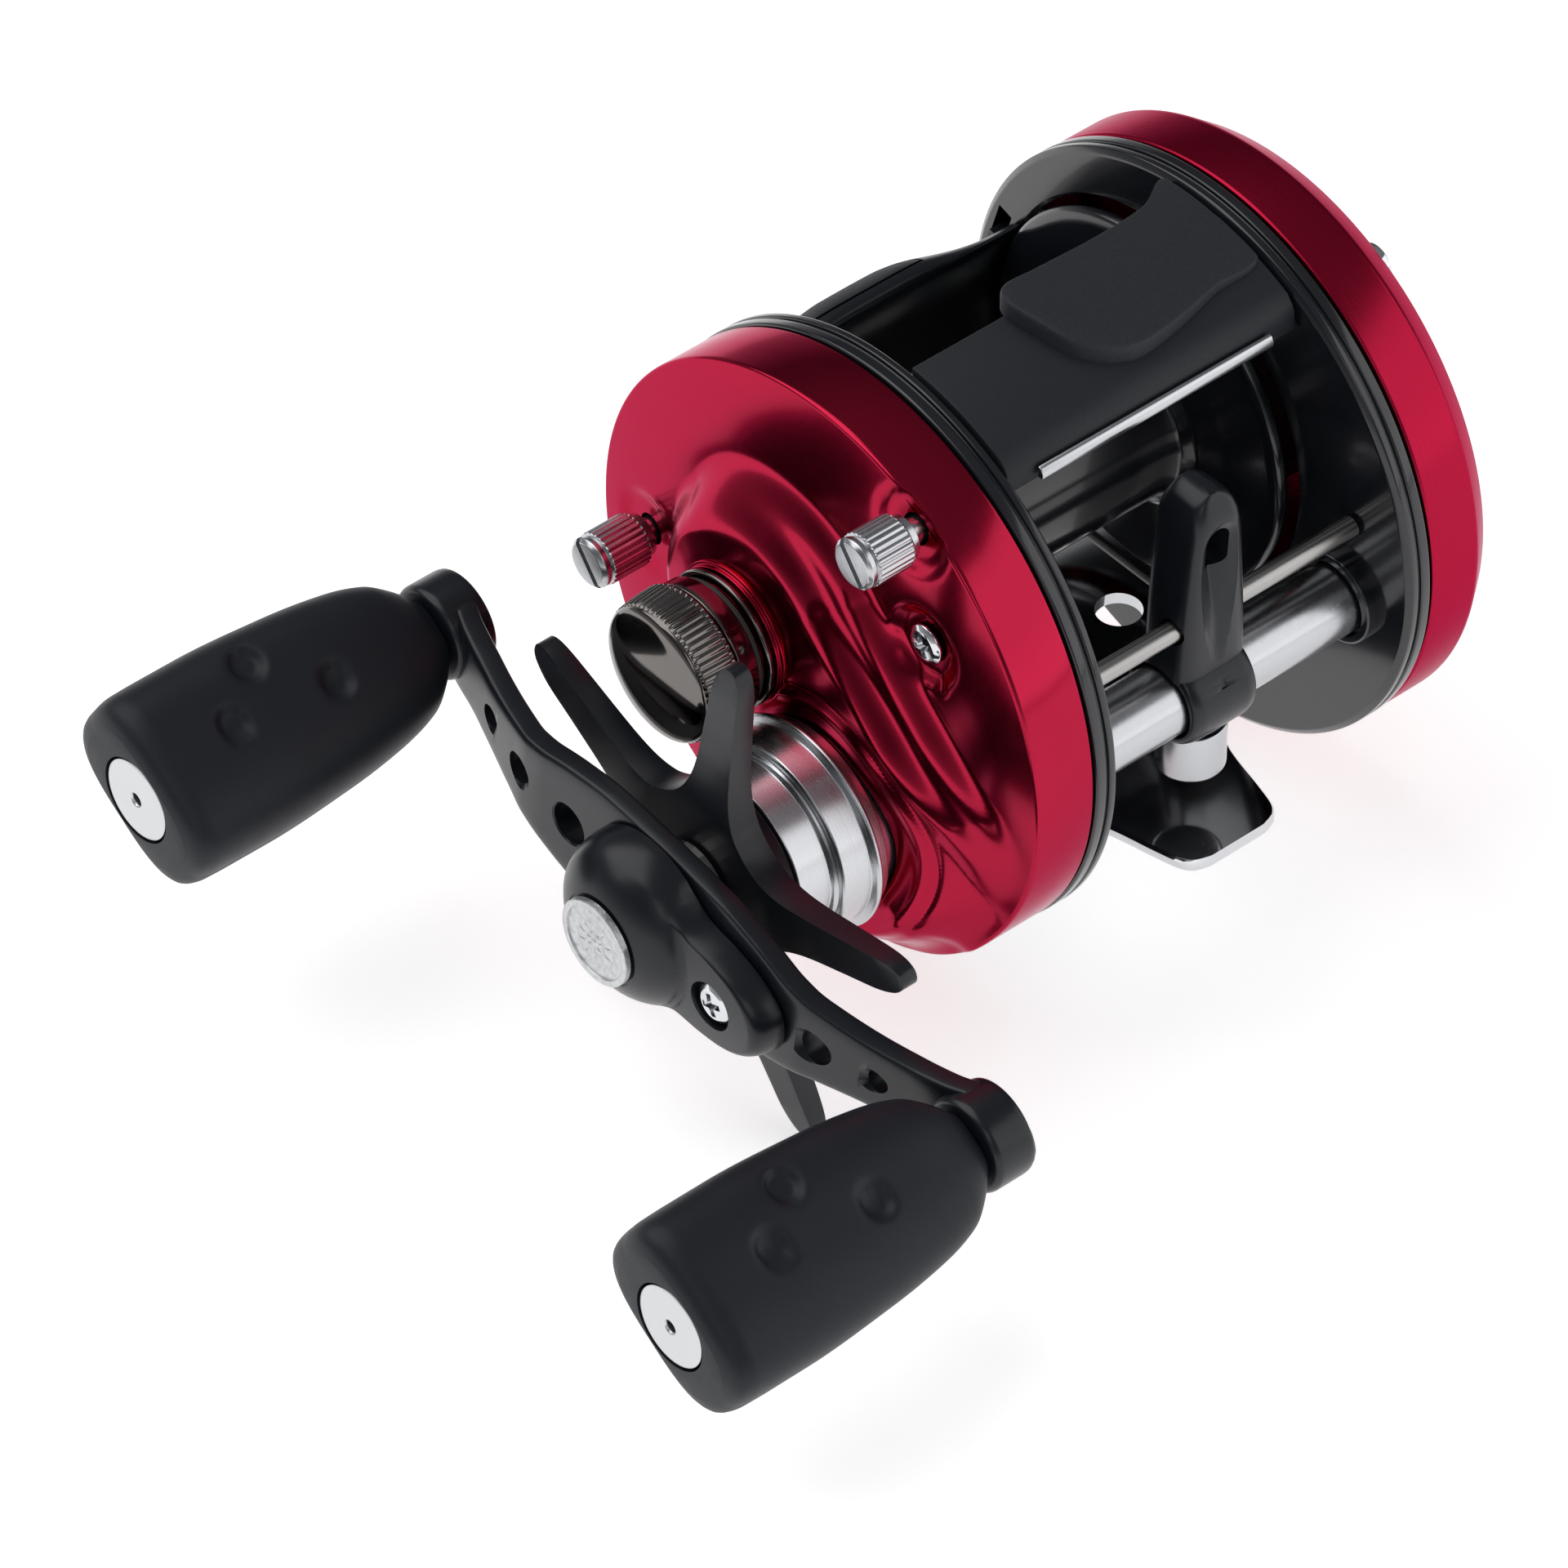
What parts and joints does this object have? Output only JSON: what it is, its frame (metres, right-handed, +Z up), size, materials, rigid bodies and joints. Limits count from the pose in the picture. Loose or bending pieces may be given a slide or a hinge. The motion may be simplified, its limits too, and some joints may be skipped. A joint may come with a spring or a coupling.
{
  "type": "baitcasting reel",
  "caption": "Round baitcasting fishing reel with red side covers, drag star, twin-knob crank, level-wind line guide, thumb bar and a rod foot.",
  "frame": {"origin": "centre of the flat underside of the foot", "axes": "+X along the spool axis towards the handle, +Y towards the line guide, +Z up away from the rod"},
  "size_m": [0.1041, 0.0864, 0.062],
  "materials": {
    "red": "red anodised aluminium, glossy",
    "black_gloss": "glossy black",
    "black_satin": "satin black",
    "black_matte": "matte black, textured pad",
    "rubber": "soft-touch black",
    "chrome": "polished chrome",
    "dark_chrome": "smoked chrome",
    "steel": "turned steel",
    "aluminium": "satin aluminium",
    "brass": "cut brass",
    "fibre": "dark moulded plastic"
  },
  "bodies": {
    "frame": {"frame_ring_handle": "black_gloss", "frame_ring_palm": "black_gloss", "thumb_rest": "black_matte", "thumb_rest_trim": "chrome", "reel_foot": "chrome", "rear_pillar": "black_gloss", "worm_tube": "chrome", "guide_rod": "steel", "handle_side_cup": "red", "palm_side_cup": "red", "bridge_plate": "steel", "cup_screw": "chrome", "palm_screw_top": "chrome", "palm_screw_rear": "chrome", "palm_screw_low": "chrome", "drive_sleeve": "chrome", "one_way_bearing": "steel", "handle_spool_bearing": "steel", "palm_spool_bearing": "steel", "brake_ring": "steel", "cap_seal_ring": "aluminium", "cap_click_ring": "fibre"},
    "cast_cap": {"cast_control_cap": "dark_chrome"},
    "rear_screw": {"rear_thumbscrew": "chrome"},
    "top_screw": {"top_thumbscrew": "chrome"},
    "crank": {"drive_shaft": "steel", "level_wind_drive_gear": "fibre", "main_gear": "brass", "drag_washer": "fibre", "pressure_plate": "steel", "clutch_tube": "steel", "handle_spacer": "steel", "handle_plate": "black_satin", "handle_nut": "steel", "nut_cover": "black_satin", "cover_medallion": "aluminium", "cover_screw": "chrome", "left_knob_post": "steel", "right_knob_post": "steel"},
    "star": {"star_drag": "black_satin"},
    "left_grip": {"left_knob": "rubber", "left_knob_cap": "aluminium"},
    "right_grip": {"right_knob": "rubber", "right_knob_cap": "aluminium"},
    "spool_unit": {"spool": "black_gloss", "spool_shaft": "steel", "brake_hub": "fibre", "brake_shoe_a": "aluminium", "brake_shoe_b": "aluminium"},
    "yoke": {"pinion_yoke": "aluminium"},
    "pinion": {"pinion_gear": "brass"},
    "worm": {"worm_shaft": "steel", "worm_gear": "fibre"},
    "carriage": {"line_guide": "black_satin", "guide_pawl": "brass", "pawl_cap": "chrome"},
    "clutch_bar": {"thumb_bar": "black_satin", "thumb_bar_pad": "rubber"}
  },
  "joints": [
    {"name": "crank_turn", "type": "hinge", "parent": "frame", "child": "crank", "pos_m": [0.045, 0.0104, 0.0091], "axis": [1, 0, 0], "continuous": true},
    {"name": "drag_star_turn", "type": "hinge", "parent": "crank", "child": "star", "pos_m": [0.0418, 0.0104, 0.0091], "axis": [1, 0, 0], "range_deg": [-180, 180]},
    {"name": "left_knob_spin", "type": "hinge", "parent": "crank", "child": "left_grip", "pos_m": [0.06, -0.02431, 0.01357], "axis": [1, 0, 0], "continuous": true},
    {"name": "right_knob_spin", "type": "hinge", "parent": "crank", "child": "right_grip", "pos_m": [0.06, 0.04511, 0.00463], "axis": [1, 0, 0], "continuous": true},
    {"name": "spool_spin", "type": "hinge", "parent": "frame", "child": "spool_unit", "pos_m": [0, 0, 0.0227], "axis": [1, 0, 0], "continuous": true},
    {"name": "worm_spin", "type": "hinge", "parent": "frame", "child": "worm", "pos_m": [0, 0.0246, 0.0162], "axis": [1, 0, 0], "continuous": true},
    {"name": "guide_travel", "type": "slide", "parent": "frame", "child": "carriage", "axis": [1, 0, 0], "range_m": [-0.012, 0.0104]},
    {"name": "thumb_bar_press", "type": "slide", "parent": "frame", "child": "clutch_bar", "axis": [0, -0.3, -0.9539], "range_m": [0, 0.003], "stiffness_N_per_m": 300},
    {"name": "yoke_lift", "type": "slide", "parent": "frame", "child": "yoke", "axis": [1, 0, 0], "range_m": [0, 0.002]},
    {"name": "pinion_spin", "type": "hinge", "parent": "yoke", "child": "pinion", "pos_m": [0.023, 0, 0.0227], "axis": [1, 0, 0], "continuous": true},
    {"name": "cast_cap_turn", "type": "hinge", "parent": "frame", "child": "cast_cap", "pos_m": [0.037, 0, 0.0227], "axis": [1, 0, 0], "range_deg": [-180, 180]},
    {"name": "rear_thumbscrew_turn", "type": "hinge", "parent": "frame", "child": "rear_screw", "pos_m": [0.03, -0.0167, 0.0201], "axis": [1, 0, 0], "continuous": true},
    {"name": "top_thumbscrew_turn", "type": "hinge", "parent": "frame", "child": "top_screw", "pos_m": [0.03, 0.0167, 0.0424], "axis": [1, 0, 0], "continuous": true}
  ],
  "couplings": [
    {"joint": "spool_spin", "follows": "crank_turn", "ratio": -5.3},
    {"joint": "pinion_spin", "follows": "crank_turn", "ratio": -5.3},
    {"joint": "worm_spin", "follows": "crank_turn", "ratio": -1.65},
    {"joint": "yoke_lift", "follows": "thumb_bar_press", "ratio": 0.66667}
  ]
}
